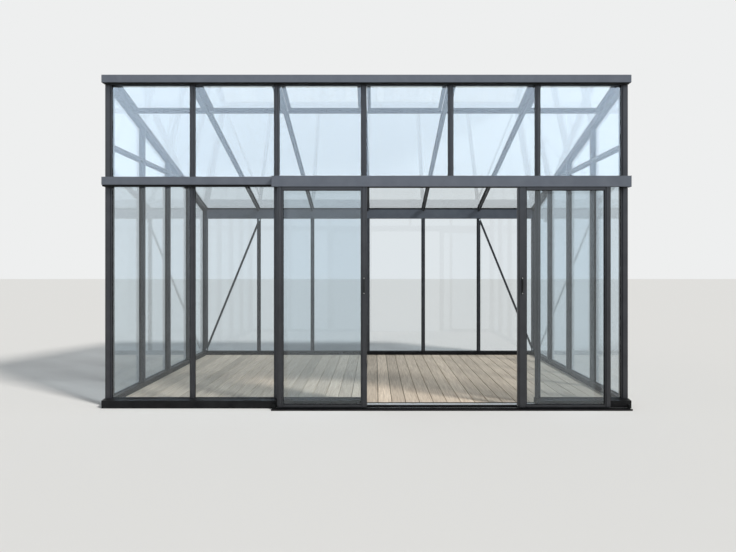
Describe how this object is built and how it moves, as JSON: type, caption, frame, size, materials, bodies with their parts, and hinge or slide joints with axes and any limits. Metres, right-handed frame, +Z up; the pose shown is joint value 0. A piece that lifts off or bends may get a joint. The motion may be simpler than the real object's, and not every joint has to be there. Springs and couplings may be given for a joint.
{
  "type": "glass greenhouse with a single-pitch roof and sliding doors",
  "caption": "Walk-in glazed greenhouse with a charcoal metal frame, a roof that falls to the back, a row of roof vents, a timber floor and a pair of sliding doors in the front.",
  "frame": {"origin": "middle of the plan, on the level that the sills stand on", "axes": "+X along the glazed front to the right, +Y from the front to the back, +Z up"},
  "size_m": [4.66, 3.3, 2.935],
  "materials": {
    "frame": "powder-coated satin",
    "door_frame": "powder-coated satin",
    "glass": "clear float glass",
    "braces": "satin",
    "boards": "weathered softwood",
    "rollers": "moulded nylon",
    "handle": "satin"
  },
  "bodies": {
    "house": {"front_sill_left": "frame", "front_sill_right": "frame", "door_threshold": "frame", "back_sill": "frame", "left_sill": "frame", "right_sill": "frame", "door_track": "frame", "front_left_post": "frame", "front_right_post": "frame", "back_left_post": "frame", "back_right_post": "frame", "front_lower_mullions": "frame", "front_upper_mullions": "frame", "mid_rail": "frame", "ridge_beam": "frame", "door_header": "frame", "header_cover": "frame", "eave_beam": "frame", "gutter": "frame", "back_mullions": "frame", "left_side_mullions": "frame", "right_side_mullions": "frame", "left_side_rail": "frame", "right_side_rail": "frame", "inner_rafters": "frame", "left_rafter": "frame", "right_rafter": "frame", "roof_cross_bars": "frame", "vent_frames": "frame", "front_lower_glass": "glass", "front_upper_glass": "glass", "left_glass": "glass", "right_glass": "glass", "back_glass": "glass", "roof_glass": "glass", "vent_glass": "glass", "wind_braces": "braces", "timber_floor": "boards"},
    "left_door": {"left_door_stiles": "door_frame", "left_door_rails": "door_frame", "left_door_glass": "glass", "left_door_rollers": "rollers", "left_door_handle": "handle"},
    "right_door": {"right_door_stiles": "door_frame", "right_door_rails": "door_frame", "right_door_glass": "glass", "right_door_rollers": "rollers", "right_door_handle": "handle"}
  },
  "joints": [
    {"name": "left_door_slide", "type": "slide", "parent": "house", "child": "left_door", "axis": [1, 0, 0], "range_m": [0, 0.728]},
    {"name": "right_door_slide", "type": "slide", "parent": "house", "child": "right_door", "axis": [1, 0, 0], "range_m": [-0.578, 0.15]}
  ]
}
